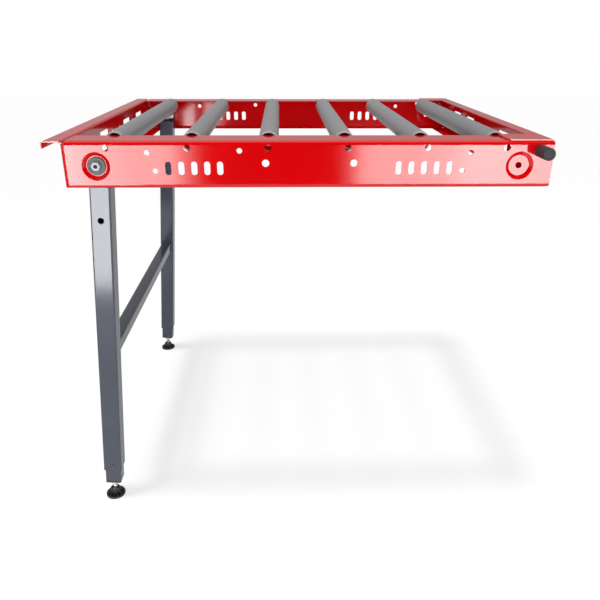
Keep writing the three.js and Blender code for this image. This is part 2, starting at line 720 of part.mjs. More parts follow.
// Everything on one long side, with the rail's outer face at y = 0 and the table's middle at +Y.
function sideAssembly(side) {
  const group = new THREE.Group();
  group.add(piece(`${side}_rail`, railGeometry(), paint.red));
  group.add(pivotStack(side));
  group.add(peg(side));
  const leg = leaningGroup(LEG_MIDDLE_Y);
  const innerTop = INNER_LEG_LENGTH - INNER_LEG_END;
  const innerLeg = squareTube(INNER_LEG_WIDTH, LEG_WALL, -INNER_LEG_END, innerTop);
  leg.add(piece(`${side}_leg_tube`, legTubeGeometry(), paint.slate));
  leg.add(piece(`${side}_clamp_screw`, clampScrewGeometry(), paint.zinc));
  leg.add(piece(`${side}_inner_leg`, innerLeg, paint.slate));
  leg.add(piece(`${side}_leg_cap`, legCapGeometry(), paint.black));
  leg.add(piece(`${side}_lock_nut`, lockNutGeometry(), paint.zinc));
  leg.add(piece(`${side}_foot_stud`, footStudGeometry(), paint.zinc));
  group.add(leg);
  const base = piece(`${side}_foot_base`, footBaseGeometry(), paint.black);
  base.position.set(BALL_X, LEG_MIDDLE_Y, BALL_Z);
  group.add(base);
  return group;
}

const table = new THREE.Group();
const front = sideAssembly("front");
front.position.y = -HALF_WIDTH;
const back = sideAssembly("back");
back.position.y = HALF_WIDTH;
back.scale.y = -1;
table.add(front, back);
table.add(piece("outer_end_panel", outerPanelGeometry(), paint.red));
table.add(piece("saw_end_panel", sawPanelGeometry(), paint.red));
for (let number = 1; number <= ROLLER_COUNT; number += 1) table.add(roller(number));

const crossbarGroup = leaningGroup(0);
const crossbarEnd = HALF_WIDTH - LEG_INSET - LEG_WIDTH - CLEARANCE;
const crossbar = squareTube(CROSSBAR_WIDTH, LEG_WALL, -crossbarEnd, crossbarEnd);
crossbar.rotateX(Math.PI / 2).translate(0, 0, -CROSSBAR_DISTANCE);
crossbarGroup.add(piece("leg_crossbar", crossbar, paint.slate));
table.add(crossbarGroup);

export default table;
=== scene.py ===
# %% [markdown]
# # A roller outfeed table, dressed for its photograph
# The real table is a red sheet-steel tray with six grey plastic rollers. One end hangs on a saw bench by two
# rubber pegs, and the other stands on folding, telescopic legs. The CAD part fixes every size and joint. This
# script puts finer pieces in the place of the CAD solids and gives each one the finish of the real one.

# %% Load the CAD part as the fixed frame
import math

import bmesh
import bpy
from mathutils import Matrix, Vector


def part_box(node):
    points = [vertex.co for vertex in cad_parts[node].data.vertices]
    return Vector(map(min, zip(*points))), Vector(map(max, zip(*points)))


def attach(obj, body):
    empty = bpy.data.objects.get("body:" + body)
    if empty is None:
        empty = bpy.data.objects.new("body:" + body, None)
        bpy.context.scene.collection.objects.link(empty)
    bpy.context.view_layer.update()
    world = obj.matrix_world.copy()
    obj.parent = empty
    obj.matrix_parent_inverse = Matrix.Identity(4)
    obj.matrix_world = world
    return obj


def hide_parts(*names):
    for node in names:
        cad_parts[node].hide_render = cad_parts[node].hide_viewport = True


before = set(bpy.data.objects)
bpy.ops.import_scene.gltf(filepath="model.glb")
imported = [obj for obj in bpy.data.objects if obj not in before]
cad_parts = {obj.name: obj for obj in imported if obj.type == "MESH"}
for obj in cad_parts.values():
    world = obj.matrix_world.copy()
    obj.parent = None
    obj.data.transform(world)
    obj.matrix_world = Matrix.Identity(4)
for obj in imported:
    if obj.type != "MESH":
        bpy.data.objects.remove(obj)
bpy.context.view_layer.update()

# %% [markdown]
# ## Sizes
# A sheet-metal shop works from one list of sizes, so this script does too. They are the CAD part's own sizes
# in millimetres. The origin is the middle of the saw end's outer face, and the table reaches along -X.
# Sizes that only one step needs are named in that step.

# %% Sizes in millimetres
MM = 0.001
LENGTH, HALF_WIDTH = 800, 362
TOP, BOTTOM = 38, -38
SHEET, GAP, EDGE = 2, 0.3, 0.6
BEND, INNER_BEND, RAIL_BEND, END_BEND = 4.5, 2.5, 6.5, 7
FLANGE, LIP = 64, 10
FIRST_ROLLER, ROLLER_PITCH, ROLLERS = 72, 130, 6
ROLLER_X = [-LENGTH + FIRST_ROLLER + ROLLER_PITCH * i for i in range(ROLLERS)]
AXLE_Z = 27
PIVOT_INSET, PIVOT_Z = 54, -2
PIVOT_X = -LENGTH + PIVOT_INSET
LEAN, FOLD = math.radians(4.3), math.radians(89.5)
LOCK_REACH = 95
PEG_X, PEG_DROP = -22, 16
LEG, LEG_WALL, LEG_MIDDLE_Y = 35, 1.5, 31.2
INNER_LEG = 30.4
LEG_END, INNER_END = -616, -645
BALL_DISTANCE = 677.908
print("rollers at x =", ROLLER_X)

# %% [markdown]
# ## Tools for making meshes
# Bent sheet, square tube and turned pieces cover the whole table. They could be shaped by hand in edit mode,
# but a formula for each kind keeps every radius a number. A bent or drawn section is an outline with rounded
# corners carried along one axis. A turned piece is a profile spun about an axis. Punched holes are cut with a
# boolean, as a punch would. Pieces are made in millimetres and scaled once, when the mesh is made.


# %% Outlines with rounded corners
def rounded(points, steps=10):
    """A closed outline whose corners are rounded to the radius given with each (a, b, radius) point."""
    path = []
    for i, (a, b, radius) in enumerate(points):
        corner = Vector((a, b))
        if not radius:
            path.append(corner)
            continue
        back = (Vector(points[i - 1][:2]) - corner).normalized()
        ahead = (Vector(points[(i + 1) % len(points)][:2]) - corner).normalized()
        half = back.angle(ahead) / 2
        centre = corner + (back + ahead).normalized() * radius / math.sin(half)
        first = corner + back * radius / math.tan(half) - centre
        last = corner + ahead * radius / math.tan(half) - centre
        sweep = math.atan2(first.x * last.y - first.y * last.x, first.dot(last))
        for step in range(steps + 1):
            turn = Matrix.Rotation(sweep * step / steps, 2)
            path.append(centre + turn @ first)
    return path


def rectangle(width, height, radius, a=0, b=0, steps=8):
    w, h = width / 2, height / 2
    corners = [(a - w, b - h), (a + w, b - h), (a + w, b + h), (a - w, b + h)]
    return rounded([(*corner, radius) for corner in corners], steps)


def circle(diameter, a=0, b=0, sides=48):
    turns = [2 * math.pi * i / sides for i in range(sides)]
    return [Vector((a + diameter / 2 * math.cos(t), b + diameter / 2 * math.sin(t))) for t in turns]


# %% Solids from outlines and profiles
def solid(name, points, faces, place):
    mesh = bpy.data.meshes.new(name)
    mesh.from_pydata([(place @ Vector(p)) * MM for p in points], [], faces)
    shape = bmesh.new()
    shape.from_mesh(mesh)
    bmesh.ops.recalc_face_normals(shape, faces=shape.faces)
    shape.to_mesh(mesh)
    shape.free()
    obj = bpy.data.objects.new(name, mesh)
    bpy.context.scene.collection.objects.link(obj)
    return obj


def along(axis, p, t):
    return {"X": (t, p[0], p[1]), "Y": (p[0], t, p[1]), "Z": (p[0], p[1], t)}[axis]


def prism(name, path, axis, start, end, place=Matrix.Identity(4)):
    """An outline carried along an axis, closed at both ends."""
    n = len(path)
    points = [along(axis, p, t) for t in (start, end) for p in path]
    faces = [(i, (i + 1) % n, n + (i + 1) % n, n + i) for i in range(n)]
    return solid(name, points, faces + [tuple(range(n)), tuple(range(n, 2 * n))], place)


def tube(name, outside, inside, axis, start, end, place):
    """A hollow section between two outlines with the same number of points."""
    n = len(outside)
    rings = [(outside, start), (outside, end), (inside, end), (inside, start)]
    points = [along(axis, p, t) for path, t in rings for p in path]
    faces = [
        (r * n + i, r * n + (i + 1) % n, (r + 1) % 4 * n + (i + 1) % n, (r + 1) % 4 * n + i)
        for r in range(4)
        for i in range(n)
    ]
    return solid(name, points, faces, place)


def lathe(name, profile, place=Matrix.Identity(4), sides=64, ring=False):
    """A profile of (radius, along) points spun about the Y axis."""
    points, rows = [], []
    for radius, y in profile:
        count = sides if radius > 1e-6 else 1
        turns = [2 * math.pi * i / sides for i in range(count)]
        rows.append([len(points) + i for i in range(count)])
        points += [(radius * math.cos(t), y, radius * math.sin(t)) for t in turns]
    faces = []
    for one, two in zip(rows, rows[1:] + rows[:1] if ring else rows[1:]):
        for i in range(sides):
            j = (i + 1) % sides
            corners = [one[i % len(one)], one[j % len(one)], two[j % len(two)], two[i % len(two)]]
            faces.append(tuple(dict.fromkeys(corners)))
    return solid(name, points, [f for f in faces if len(f) > 2], place)


# %% Joining and cutting
def join(name, objects):
    shape = bmesh.new()
    for obj in objects:
        shape.from_mesh(obj.data)
        bpy.data.objects.remove(obj)
    mesh = bpy.data.meshes.new(name)
    shape.to_mesh(mesh)
    shape.free()
    obj = bpy.data.objects.new(name, mesh)
    bpy.context.scene.collection.objects.link(obj)
    return obj


def carve(body, tools, operation="DIFFERENCE"):
    """Cuts the tools out of the body, as a press or a drill does."""
    tool = join("tool", tools)
    boolean = body.modifiers.new("cut", "BOOLEAN")
    boolean.operation = operation
    boolean.solver = "EXACT"
    boolean.object = tool
    bpy.context.view_layer.update()
    baked = bpy.data.meshes.new_from_object(body.evaluated_get(bpy.context.evaluated_depsgraph_get()))
    body.modifiers.clear()
    body.data = baked
    bpy.data.objects.remove(tool)
    return body


def hexagon(name, across_flats, start, end, bore=0, place=Matrix.Identity(4)):
    """A hexagon about Y with both faces chamfered, drilled if a bore is given."""
    flat, corner = across_flats / 2, across_flats / math.sqrt(3)
    path = circle(2 * corner, sides=6)
    drop = (corner - flat) * 0.6
    trim = [(0, start), (flat, start), (corner, start + drop), (corner, end - drop), (flat, end), (0, end)]
    body = carve(prism(name, path, "Y", start, end, place), [lathe("trim", trim, place)], "INTERSECT")
    if bore:
        body = carve(body, [prism("drill", circle(bore), "Y", start - 1, end + 1, place)])
    return body


# %% [markdown]
# ## Finishes
# Powder coat flows into a smooth skin with a faint orange-peel ripple, so both paints carry a fine bump and a
# slow change of tone. Red is glossy, slate a little less so. The rollers are extruded pipe with faint lines
# along their length. Zinc plating is bright and a little cloudy, and some of it has gone dull. A picture of
# each surface could be wrapped on, but noise has no seams and needs no unwrapping, so one recipe of slow and
# fine noise makes every finish.


# %% A finish made of noise
PATCHES, PATCH_DETAIL, GRAIN_DETAIL = 9, 5, 3
NOISE_LOW, NOISE_HIGH = 0.3, 0.7
LIFT = 0.0002


def finish(name, dark, light, rough, grain, bump, stretch=(1, 1, 1), **sockets):
    """A node material: slow noise sets the tone, and fine noise the roughness and the bump."""
    material = bpy.data.materials.new(name)
    material.use_nodes = True
    nodes, links = material.node_tree.nodes, material.node_tree.links
    shader = nodes["Principled BSDF"]
    place = nodes.new("ShaderNodeTexCoord")
    scale = nodes.new("ShaderNodeMapping")
    scale.inputs["Scale"].default_value = stretch
    links.new(place.outputs["Object"], scale.inputs["Vector"])
    slow, fine = nodes.new("ShaderNodeTexNoise"), nodes.new("ShaderNodeTexNoise")
    slow.inputs["Scale"].default_value, slow.inputs["Detail"].default_value = PATCHES, PATCH_DETAIL
    fine.inputs["Scale"].default_value, fine.inputs["Detail"].default_value = 1000 / grain, GRAIN_DETAIL
    for noise in (slow, fine):
        links.new(scale.outputs["Vector"], noise.inputs["Vector"])
    tone = nodes.new("ShaderNodeValToRGB")
    tone.color_ramp.elements[0].position, tone.color_ramp.elements[1].position = NOISE_LOW, NOISE_HIGH
    tone.color_ramp.elements[0].color, tone.color_ramp.elements[1].color = (*dark, 1), (*light, 1)
    links.new(slow.outputs["Fac"], tone.inputs["Fac"])
    links.new(tone.outputs["Color"], shader.inputs["Base Color"])
    spread = nodes.new("ShaderNodeMapRange")
    spread.inputs["From Min"].default_value, spread.inputs["From Max"].default_value = NOISE_LOW, NOISE_HIGH
    spread.inputs["To Min"].default_value, spread.inputs["To Max"].default_value = rough
    links.new(fine.outputs["Fac"], spread.inputs["Value"])
    links.new(spread.outputs["Result"], shader.inputs["Roughness"])
    lift = nodes.new("ShaderNodeBump")
    lift.inputs["Strength"].default_value, lift.inputs["Distance"].default_value = bump, LIFT
    links.new(fine.outputs["Fac"], lift.inputs["Height"])
    links.new(lift.outputs["Normal"], shader.inputs["Normal"])
    for socket, value in sockets.items():
        shader.inputs[socket.replace("_", " ").title()].default_value = value
    return material


# %% The finishes, most of them named after the record's slots
finishes = {
    "red_paint": finish(
        "red_paint", (0.74, 0.0006, 0.002), (0.82, 0.001, 0.003), (0.07, 0.11), 5.0, 0.05
    ),
    "slate_paint": finish(
        "slate_paint", (0.066, 0.075, 0.104), (0.082, 0.093, 0.127), (0.12, 0.17), 2.5, 0.06
    ),
    "roller_plastic": finish(
        "roller_plastic", (0.29, 0.29, 0.3), (0.35, 0.35, 0.362), (0.42, 0.55), 2.0, 0.15, (1, 0.04, 1)
    ),
    # Sawn pipe ends: the rough cut is real, and the colour, twice as light as the pipe, is a painted
    # highlight for their lit rims.
    "sawn_plastic_painted_highlight": finish("sawn_plastic_painted_highlight", (0.58, 0.58, 0.59), (0.7, 0.7, 0.71), (0.6, 0.75), 0.7, 0.5),
    "dull_zinc": finish("dull_zinc", (0.07, 0.078, 0.086), (0.11, 0.118, 0.126), (0.4, 0.55), 0.9, 0.25),
    "cloudy_zinc": finish("cloudy_zinc", (0.46, 0.47, 0.48), (0.58, 0.59, 0.6), (0.3, 0.42), 0.8, 0.15),
    # Painted shade: near-black, standing in for the shadow inside the bolt head's recess.
    "painted_shade_recess": finish("painted_shade_recess", (0.02, 0.02, 0.022), (0.04, 0.04, 0.042), (0.75, 0.9), 0.5, 0.4),
    "black_plastic": finish(
        "black_plastic", (0.009, 0.009, 0.01), (0.016, 0.016, 0.017), (0.35, 0.5), 1.2, 0.2
    ),
    "peg_rubber": finish("peg_rubber", (0.022, 0.022, 0.026), (0.03, 0.03, 0.035), (0.55, 0.7), 1.0, 0.25),
    "zinc_steel": finish(
        "zinc_steel", (0.6, 0.61, 0.62), (0.72, 0.72, 0.71), (0.2, 0.34), 0.8, 0.1, metallic=1
    ),
    "axle_steel": finish(
        "axle_steel", (0.28, 0.28, 0.29), (0.36, 0.36, 0.37), (0.3, 0.45), 1.0, 0.15, (1, 0.05, 1), metallic=1
    ),
}
print("finishes:", ", ".join(finishes))


# %% [markdown]
# ## Handing a piece over
# Each finished piece takes its finish, stands for its CAD nodes and rides on their body, so it moves as they
# do. Edges sharper than a bend stay crisp. Large flat faces keep a flat shine next to a rounded bend, because
# each corner's normal is weighted by face area. A bevel on every edge could do the same with far more faces.


# %% Dress a piece
CRISP = math.radians(32)


def dress(obj, body, slot, *nodes, look=None):
    mesh = obj.data
    mesh.materials.clear()
    mesh.materials.append(finishes[look or slot])
    mesh.shade_smooth()
    mesh.set_sharp_from_angle(angle=CRISP)
    flat = obj.modifiers.new("flat faces first", "WEIGHTED_NORMAL")
    flat.keep_sharp = True
    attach(obj, body)
    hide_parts(*nodes)


def move(x=0, y=0, z=0):
    return Matrix.Translation((x, y, z))


def box(low, high, place):
    path = [(low[0], low[1]), (high[0], low[1]), (high[0], high[1]), (low[0], high[1])]
    return prism("box", path, "Z", low[2], high[2], place)


UPRIGHT = Matrix.Rotation(math.pi / 2, 4, "X")
SIDES = {
    "front": move(y=-HALF_WIDTH),
    "back": move(y=HALF_WIDTH) @ Matrix.Diagonal((1, -1, 1, 1)),
}
LEGS = {s: p @ move(PIVOT_X, LEG_MIDDLE_Y, PIVOT_Z) @ Matrix.Rotation(LEAN, 4, "Y") for s, p in SIDES.items()}

# %% [markdown]
# ## Side rails
# A rail is one strip of 2 mm sheet: web, top flange and a narrow lower lip, with 6.5 mm outer bends. The
# press leaves a round dish at each end, and the punch leaves access holes over the axles, small holes and
# slots. Tongues folded down from the flange carry the axles. A bump could only hint at the dish, so its rim
# is a turned slope with short blends, which reflects as one even ring, as the pressed steel does.


# %% The holes in a rail
DISHES = (PIVOT_X, -PIVOT_INSET)
DISH, ACCESS_HOLE, SMALL_HOLE, WIDE_HOLE, BOLT_HOLE = 46, 11, 9, 12, 10.6
SLOT_WIDE, SLOT_HIGH, SLOT_CORNER = 10, 22, 4.7
SLOTS, SLOT_PITCH, SLOT_INSET, SLOT_DROP = 5, 21, 212, 43.5


def rail_tools(place):
    """The notch for the saw panel, and every punched hole and slot."""
    tools = [box((-BEND - GAP, SHEET, BOTTOM - 1), (1, FLANGE + 1, TOP + 1), place)]
    holes = [(ACCESS_HOLE, x, AXLE_Z) for x in ROLLER_X]
    holes += [(DISH, x, PIVOT_Z) for x in DISHES]
    holes += [(WIDE_HOLE, x, TOP - 35.5) for x in (-472, -328)]
    holes += [(SMALL_HOLE, x, TOP - 18.5) for x in (-663, -137)]
    holes += [(SMALL_HOLE, -514, TOP - 15.5), (BOLT_HOLE, PEG_X, TOP - PEG_DROP)]
    lock_x = LOCK_REACH * math.sin(FOLD - LEAN)
    lock_z = PIVOT_Z - LOCK_REACH * math.cos(FOLD - LEAN)
    holes += [(SMALL_HOLE, x, lock_z) for x in (PIVOT_X + lock_x, -PIVOT_INSET - lock_x)]
    for diameter, x, z in holes:
        tools.append(prism("hole", circle(diameter, x, z, 64), "Y", -1, SHEET + 1, place))
    for middle in (-LENGTH + SLOT_INSET, -SLOT_INSET):
        for i in range(SLOTS):
            x = middle + SLOT_PITCH * (i - SLOTS // 2)
            slot = rectangle(SLOT_WIDE, SLOT_HIGH, SLOT_CORNER, x, TOP - SLOT_DROP)
            tools.append(prism("slot", slot, "Y", -1, SHEET + 1, place))
    return tools


# %% Dishes, axle tongues and the end bend
EAR, EAR_CORNER = 13, 12.7


def dish(x, place):
    """A pressed dish from (radius, depth) points: its floor, its slope and the back of both."""
    slope = [(16.6, 5), (16.9, 4.92), (17.2, 4.7), (22.4, 0.3), (22.7, 0.08), (DISH / 2, 0)]
    back = [(r + 0.8, y + SHEET) for r, y in reversed(slope)]
    profile = [(BOLT_HOLE / 2, 5), *slope, *back, (BOLT_HOLE / 2, 5 + SHEET)]
    return lathe("dish", profile, place @ move(x, 0, PIVOT_Z), 64, ring=True)


def ear(x, place):
    """A tongue folded down from the flange and rounded about its axle."""
    left, right, low, high = x - EAR, x + EAR, AXLE_Z - EAR, TOP - 0.1
    corners = [(left, low, EAR_CORNER), (right, low, EAR_CORNER), (right, high, 0), (left, high, 0)]
    return prism("ear", rounded(corners), "Y", FLANGE - SHEET, FLANGE - 0.05, place)


def end_bend(place):
    """The web's outer end, turned inwards to meet the outer panel."""
    turns = [math.pi / 2 * i / 10 for i in range(11)]
    rim = [(END_BEND, turns), (END_BEND - SHEET, turns[::-1])]
    path = [(-LENGTH + END_BEND - r * math.sin(t), END_BEND - r * math.cos(t)) for r, ts in rim for t in ts]
    return prism("end_bend", path, "Z", BOTTOM + 1.2, TOP - RAIL_BEND + 1.5, place)


# %% Both rails
RAIL_SECTION = rounded(
    [
        (LIP, BOTTOM, EDGE),
        (0, BOTTOM, RAIL_BEND),
        (0, TOP, RAIL_BEND),
        (FLANGE, TOP, EDGE),
        (FLANGE, TOP - SHEET, EDGE),
        (SHEET, TOP - SHEET, RAIL_BEND - SHEET),
        (SHEET, BOTTOM + SHEET, RAIL_BEND - SHEET),
        (LIP, BOTTOM + SHEET, EDGE),
    ]
)
for side, place in SIDES.items():
    channel = carve(prism("channel", RAIL_SECTION, "X", -LENGTH + END_BEND, 0, place), rail_tools(place))
    pressed = [dish(x, place) for x in DISHES] + [ear(x, place) for x in ROLLER_X]
    rail = join(f"{side}_rail_steel", [channel, end_bend(place), *pressed])
    dress(rail, "frame", "red_paint", f"{side}_rail")
    print(rail.name, len(rail.data.polygons), "faces")

# %% [markdown]
# ## End panels
# The outer panel's flange turns outwards into a hook, so another table or a bench edge can hang there. The
# saw panel's flange lies on the rails, with a gusset at each corner. Both walls have windows that serve as
# grips and save weight. One bent section carried across the table makes each panel, so its bends run through
# without a seam, and the windows are punched afterwards with rounded corners.


# %% The outer panel
def trims(low_x, high_x, low_z, high_z, amount):
    """Cutters that shorten a panel by the amount at both ends."""
    inner, outer = HALF_WIDTH - amount, HALF_WIDTH + 1
    spans = [(inner, outer), (-outer, -inner)]
    return [box((low_x, a, low_z), (high_x, b, high_z), Matrix.Identity(4)) for a, b in spans]


HOOK, HOOK_LIP = 30, 12
WINDOW_HIGH, WINDOW_CORNER = 38, 4
OUTER_WINDOW, ROUND_WINDOW, WINDOW_PITCH, WINDOWS_PER_SIDE = 64, 24, 65, 4
hook = -LENGTH - HOOK
stop = PIVOT_X - LEG / 2 / math.cos(LEAN) + (BOTTOM + SHEET) * math.tan(LEAN) - GAP
outer_section = rounded(
    [
        (hook, TOP - HOOK_LIP, EDGE),
        (hook, TOP, BEND),
        (-LENGTH + SHEET, TOP, BEND),
        (-LENGTH + SHEET, BOTTOM + SHEET, INNER_BEND),
        (stop, BOTTOM + SHEET, EDGE),
        (stop, BOTTOM, EDGE),
        (-LENGTH, BOTTOM, BEND),
        (-LENGTH, TOP - SHEET, INNER_BEND),
        (hook + SHEET, TOP - SHEET, INNER_BEND),
        (hook + SHEET, TOP - HOOK_LIP, EDGE),
    ]
)
outer_panel = prism("outer_end_panel_steel", outer_section, "Y", -HALF_WIDTH, HALF_WIDTH)
carve(outer_panel, trims(-LENGTH - GAP, stop + 1, BOTTOM - 1, TOP + 1, END_BEND))
carve(outer_panel, trims(-LENGTH + SHEET, stop + 1, BOTTOM - 1, BOTTOM + BEND + GAP, LIP + GAP))
windows = []
for i in range(WINDOWS_PER_SIDE):
    for y in (-WINDOW_PITCH * (i + 0.5), WINDOW_PITCH * (i + 0.5)):
        window = circle(ROUND_WINDOW, y)
        if i % 2:
            window = rectangle(OUTER_WINDOW, WINDOW_HIGH, WINDOW_CORNER, y)
        windows.append(prism("window", window, "X", -LENGTH - 1, -LENGTH + SHEET + 1))
dress(carve(outer_panel, windows), "frame", "red_paint", "outer_end_panel")
print(outer_panel.name, "with", len(windows), "windows and holes")

# %% The saw-end panel and its gussets
SAW_FLANGE, SAW_LIP, GUSSET, SAW_WINDOW = 28, 35, 75, 61
saw_top = TOP + GAP + SHEET
saw_section = rounded(
    [
        (-SAW_FLANGE, saw_top, EDGE),
        (0, saw_top, BEND),
        (0, BOTTOM, BEND),
        (-SAW_LIP, BOTTOM, EDGE),
        (-SAW_LIP, BOTTOM + SHEET, EDGE),
        (-SHEET, BOTTOM + SHEET, INNER_BEND),
        (-SHEET, saw_top - SHEET, INNER_BEND),
        (-SAW_FLANGE, saw_top - SHEET, EDGE),
    ]
)
span = HALF_WIDTH - SHEET - GAP
saw_panel = carve(
    prism("saw_wall", saw_section, "Y", -span, span),
    trims(-SAW_LIP - 1, -SHEET, BOTTOM - 1, BOTTOM + BEND + GAP, LIP + GAP),
)
windows = []
for y in (-230, -118, 118, 230):
    window = rectangle(SAW_WINDOW, WINDOW_HIGH, WINDOW_CORNER, y)
    windows.append(prism("window", window, "X", -SHEET - 1, 1))
saw_panel = carve(saw_panel, windows)
gussets = []
for sign in (-1, 1):
    near, far = sign * (HALF_WIDTH - FLANGE), sign * span
    weld = -SAW_FLANGE + 0.8
    corners = [(-GUSSET, near, 8), (-GUSSET, far, 2), (weld, far, 0), (weld, near, 0)]
    gussets.append(prism("gusset", rounded(corners), "Z", saw_top - SHEET + 0.01, saw_top - 0.01))
saw_panel = join("saw_end_panel_steel", [saw_panel, *gussets])
dress(saw_panel, "frame", "red_paint", "saw_end_panel")
print(saw_panel.name, len(saw_panel.data.polygons), "faces")

# %% [markdown]
# ## Rollers
# Each roller is a length of plastic pipe on two plain bushes, turning on a fixed steel axle riveted into the
# rails' tongues. The sawn pipe ends are lightly broken, and a bush sits a little way inside, so the mouths
# look dark. The bushes have a moulded groove between hub and rim. A capped cylinder would hide all this, so
# every piece is turned from its own profile.

# %% Profiles as (radius, distance from the end) points
TUBE_END, BUSH_DEPTH = HALF_WIDTH - FLANGE - 2, 15
AXLE_SHOULDER = HALF_WIDTH - FLANGE + SHEET + GAP
PIPE_END = [(14.5, 0.4), (14.9, 0), (16.9, 0), (17.5, 0.6)]
BUSH = [(5.3, 0.3), (5.6, 0), (8.2, 0), (8.6, 0.5), (8.9, 3), (11.8, 3), (12.1, 0.5), (12.5, 0), (13.8, 0)]
BUSH += [(14.2, 0.5), (14.2, 13.6), (13.8, 14), (5.6, 14), (5.3, 13.7)]
AXLE_HEAD = [(5, 0), (6.3, 0), (6.5, 0.5), (6.1, 1.7), (4.6, 2.6), (0, 3)]
print("pipe length", 2 * TUBE_END, "mm")

# %% Pipes, bushes and axles
for number, x in enumerate(ROLLER_X, 1):
    place = move(x, 0, AXLE_Z)
    profile = [(r, y - TUBE_END) for r, y in PIPE_END]
    profile += [(r, TUBE_END - y) for r, y in reversed(PIPE_END)]
    shell = lathe(f"roller_{number}_pipe", profile, place, 96, ring=True)
    dress(shell, f"roller_{number}", "roller_plastic", f"roller_{number}_tube")
    # Faces along the axle, the sawn ends, take the lighter finish: a painted highlight for the lit rims.
    shell.data.materials.append(finishes["sawn_plastic_painted_highlight"])
    for face in shell.data.polygons:
        face.material_index = int(abs(face.normal.y) > 0.6)
    for side, sign in (("front", -1), ("back", 1)):
        profile = [(r, sign * (TUBE_END - BUSH_DEPTH - y)) for r, y in BUSH]
        moulded = lathe(f"roller_{number}_{side}_bush_moulded", profile, place, 64, ring=True)
        dress(moulded, f"roller_{number}", "black_plastic", f"roller_{number}_{side}_bush")
    profile = [(r, -AXLE_SHOULDER - y) for r, y in reversed(AXLE_HEAD)]
    profile += [(r, AXLE_SHOULDER + y) for r, y in AXLE_HEAD]
    rod = lathe(f"roller_{number}_axle_rod", profile, place, 40)
    dress(rod, "frame", "axle_steel", f"roller_{number}_axle")
print("rollers:", len(ROLLER_X))

# %% [markdown]
# ## Leg pivots
# A hexagon-head bolt with a broad washer sits in the dish, passes through a plastic spacer and the leg's
# outer wall, and ends in a nut behind a second washer. The head's corners are turned off at the face, and the
# faces of a small recess in its middle take a second, near-black finish: painted shade for the recess's
# shadow.
# Washers are stamped, so one edge of each is slightly rounded. A plain cylinder for each would lose these
# highlights.


# %% Washers
def washer(name, outside, bore, start, thickness, place):
    o, b, end = outside / 2, bore / 2, start + thickness
    profile = [(b, start), (o - 0.6, start), (o - 0.15, start + 0.3), (o, start + 0.8), (o, end), (b, end)]
    return lathe(name, profile, place, 64, ring=True)


# %% The bolt stack on each side
for side, place in SIDES.items():
    pivot = place @ move(PIVOT_X, 0, PIVOT_Z)
    head = hexagon("head", 13, -3.4, 1.9, place=pivot)
    recess = [(0, -1.4), (2.9, -1.6), (3.1, -3.2), (3.4, -3.6), (0, -6)]
    head = carve(head, [lathe("recess", recess, pivot, 32)])
    shank = lathe("shank", [(0, 1.8), (5, 1.8), (5, 30.4), (4.4, 31), (0, 31)], pivot, 40)
    bolt = join(f"{side}_pivot_hexagon_bolt", [head, shank])
    dress(bolt, "frame", "zinc_steel", f"{side}_pivot_bolt", look="cloudy_zinc")
    # The faces inside the head's recess take the near-black painted shade, for the recess's shadow.
    bolt.data.materials.append(finishes["painted_shade_recess"])
    for face in bolt.data.polygons:
        x, y, z = face.center / MM
        inside = math.hypot(x - PIVOT_X, z - PIVOT_Z) < 3.2 and -3.3 < HALF_WIDTH - abs(y) < -0.3
        face.material_index = int(inside)
    broad = washer(f"{side}_pivot_broad_washer", 30, BOLT_HOLE, 2.2, 2.5, pivot)
    dress(broad, "frame", "zinc_steel", f"{side}_pivot_washer", look="dull_zinc")
    sleeve = [(5.3, 7.3), (9.6, 7.3), (10, 7.7), (10, 13), (9.6, 13.4), (5.3, 13.4)]
    spacer = lathe(f"{side}_pivot_sleeve", sleeve, pivot, 48, ring=True)
    dress(spacer, "frame", "black_plastic", f"{side}_pivot_spacer")
    inner = washer(f"{side}_pivot_second_washer", 28, BOLT_HOLE, 15.5, 2.5, pivot)
    dress(inner, "frame", "zinc_steel", f"{side}_pivot_inner_washer")
    nut = hexagon(f"{side}_pivot_hexagon_nut", 17, 18.3, 27.3, BOLT_HOLE, pivot)
    dress(nut, "frame", "zinc_steel", f"{side}_pivot_nut")
print("pivot stacks:", len(SIDES))

# %% [markdown]
# ## Hanging pegs
# A rubber sleeve on a steel stud takes the table's weight on the saw bench without marking it. The moulded
# sleeve has a rounded end with a shallow hollow, and the stud's flange sits inside the rail. Both are round,
# so each is one turned profile.

# %% Pegs
for side, place in SIDES.items():
    peg = place @ move(PEG_X, 0, TOP - PEG_DROP)
    ends = [(0, -35.9), (6.6, -35.9), (7.2, -36.3), (8.8, -36.3), (9.8, -35.9), (10.2, -34.9), (10.25, -34)]
    profile = ends + [(10.25, -1), (10, -0.4), (9.7, -0.3), (5.3, -0.3), (5.3, -32.3), (0, -32.3)]
    sleeve = lathe(f"{side}_peg_rubber_sleeve", profile, peg, 64)
    dress(sleeve, "frame", "peg_rubber", f"{side}_peg_sleeve")
    profile = [(0, -32), (4.6, -32), (5, -31.6), (5, 2.3), (8.7, 2.3), (9, 2.6), (9, 5), (8.7, 5.3), (0, 5.3)]
    stud = lathe(f"{side}_peg_steel_stud", profile, peg, 48)
    dress(stud, "frame", "zinc_steel", f"{side}_peg_stud")
print("pegs:", len(SIDES))

# %% [markdown]
# ## Legs
# The legs are 35 mm square tube with drawn, rounded corners. The top of the inner wall is cut away for the
# pivot nut. Each outer wall has a lock hole, and a clamp screw near the lower end that holds the sliding
# inner leg. The crossbar is welded between the legs. Its bead could be a plain ring, but laid-on drops
# overlap, so the ring's thickness ripples along its path.


# %% Square tube
def square_tube(name, width, axis, start, end, place, corner=3):
    hollow = width - 2 * LEG_WALL
    outside, inside = rectangle(width, width, corner), rectangle(hollow, hollow, corner - LEG_WALL)
    return tube(name, outside, inside, axis, start, end, place)


